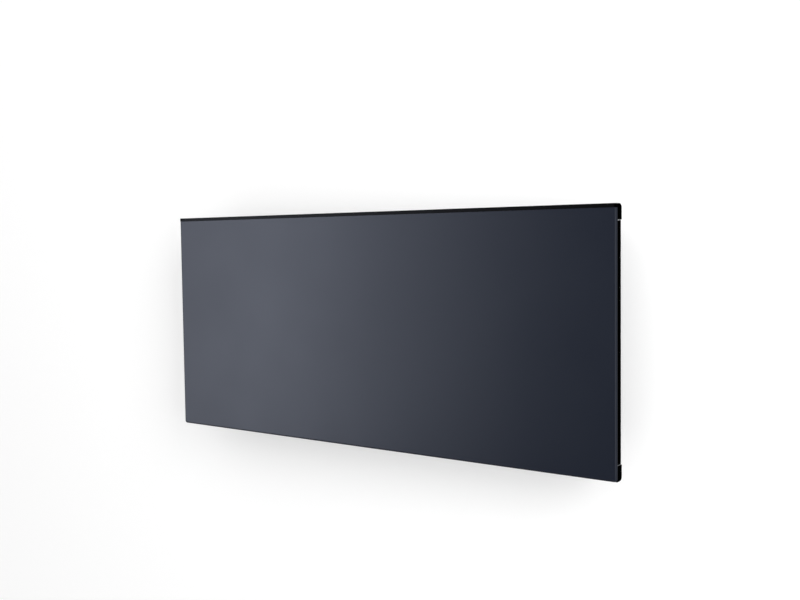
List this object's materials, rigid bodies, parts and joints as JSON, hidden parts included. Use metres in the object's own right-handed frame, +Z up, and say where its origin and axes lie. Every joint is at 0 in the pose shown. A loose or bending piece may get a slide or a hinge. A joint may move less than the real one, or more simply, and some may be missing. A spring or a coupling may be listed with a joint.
{
  "type": "electric panel radiator",
  "caption": "Slim wall-hung electric panel heater with a flat dark front, convector casing, top controls and a tilting wall bracket.",
  "frame": {"origin": "on the wall plane, at the centre of the four wall screws", "axes": "+X to the right as seen from the room, +Y into the wall, +Z up; the front faces -Y"},
  "size_m": [0.75, 0.084, 0.33],
  "materials": {
    "front_coat": "satin anthracite powder coat",
    "profile_black": "black powder coat on extruded profile",
    "plastic_black": "fine grained moulding",
    "casing_coat": "matt black powder coat",
    "zinc_steel": "zinc plated",
    "spring_steel": "spring steel",
    "aluminium": "plain extrusion",
    "sheath_steel": "oxidised sheath",
    "ceramic": "white ceramic",
    "board_green": "solder mask",
    "window_smoke": "smoked lens",
    "plastic_grey": "light grey moulding",
    "relay_blue": "sealed case",
    "radio_can": "tinned can",
    "lead_brown": "insulation",
    "lead_blue": "insulation",
    "lead_green": "insulation",
    "lead_white": "heat resistant sleeve",
    "rubber_black": "soft sleeve",
    "key_cap": "soft key cap"
  },
  "bodies": {
    "wall_bracket": {"bracket_arm_left": "zinc_steel", "bracket_arm_right": "zinc_steel", "bracket_crossbar_upper": "zinc_steel", "bracket_crossbar_lower": "zinc_steel", "bracket_rivets": "zinc_steel", "latch_spring_left": "spring_steel", "latch_spring_right": "spring_steel"},
    "heater": {"front_panel": "front_coat", "top_rail": "profile_black", "bottom_rail": "profile_black", "side_rail_left": "profile_black", "side_rail_right": "profile_black", "top_end_cap_left": "plastic_black", "top_end_cap_right": "plastic_black", "bottom_end_cap_left": "plastic_black", "bottom_end_cap_right": "plastic_black", "chassis_plate": "zinc_steel", "panel_standoffs": "zinc_steel", "panel_screws": "zinc_steel", "rail_screws": "zinc_steel", "casing_screws": "zinc_steel", "element_screws": "zinc_steel", "rear_casing": "casing_coat", "partition_plate": "zinc_steel", "lead_grommet": "rubber_black", "element_fins": "aluminium", "element_rod": "sheath_steel", "element_insulators": "ceramic", "element_bracket_left": "zinc_steel", "element_bracket_right": "zinc_steel", "thermal_cutout": "plastic_black", "air_sensor": "plastic_black", "control_housing": "plastic_black", "control_fascia": "plastic_black", "fascia_screws": "zinc_steel", "display_window": "window_smoke", "display_module": "plastic_black", "control_board": "board_green", "tact_switches": "radio_can", "relay": "relay_blue", "wifi_module": "radio_can", "main_switch_housing": "plastic_black", "terminal_block": "plastic_grey", "earth_stud": "zinc_steel", "cable_gland": "plastic_black", "gland_nut": "plastic_black", "lead_live": "lead_brown", "lead_neutral": "lead_blue", "lead_earth": "lead_green", "element_lead_a": "lead_white", "element_lead_b": "lead_white", "element_lead_c": "lead_white", "hanger_left": "zinc_steel", "hanger_right": "zinc_steel", "hinge_pins": "zinc_steel", "hanger_screws": "zinc_steel"},
    "key_minus": {"key_minus": "key_cap"},
    "key_plus": {"key_plus": "key_cap"},
    "key_mode": {"key_mode": "key_cap"},
    "main_rocker": {"main_switch_rocker": "key_cap"}
  },
  "joints": [
    {"name": "heater_tilt", "type": "hinge", "parent": "wall_bracket", "child": "heater", "pos_m": [0, -0.011, -0.1], "axis": [1, 0, 0], "range_deg": [0, 20], "deforming": ["latch_spring_left", "latch_spring_right"]},
    {"name": "key_minus_press", "type": "slide", "parent": "heater", "child": "key_minus", "axis": [0, 0, -1], "range_m": [0, 0.001], "stiffness_N_per_m": 400, "springref_m": -0.0005},
    {"name": "key_plus_press", "type": "slide", "parent": "heater", "child": "key_plus", "axis": [0, 0, -1], "range_m": [0, 0.001], "stiffness_N_per_m": 400, "springref_m": -0.0005},
    {"name": "key_mode_press", "type": "slide", "parent": "heater", "child": "key_mode", "axis": [0, 0, -1], "range_m": [0, 0.001], "stiffness_N_per_m": 400, "springref_m": -0.0005},
    {"name": "main_switch_rock", "type": "hinge", "parent": "heater", "child": "main_rocker", "pos_m": [0.326, -0.04695, 0.1465], "axis": [0, -1, 0], "range_deg": [0, 18]}
  ]
}
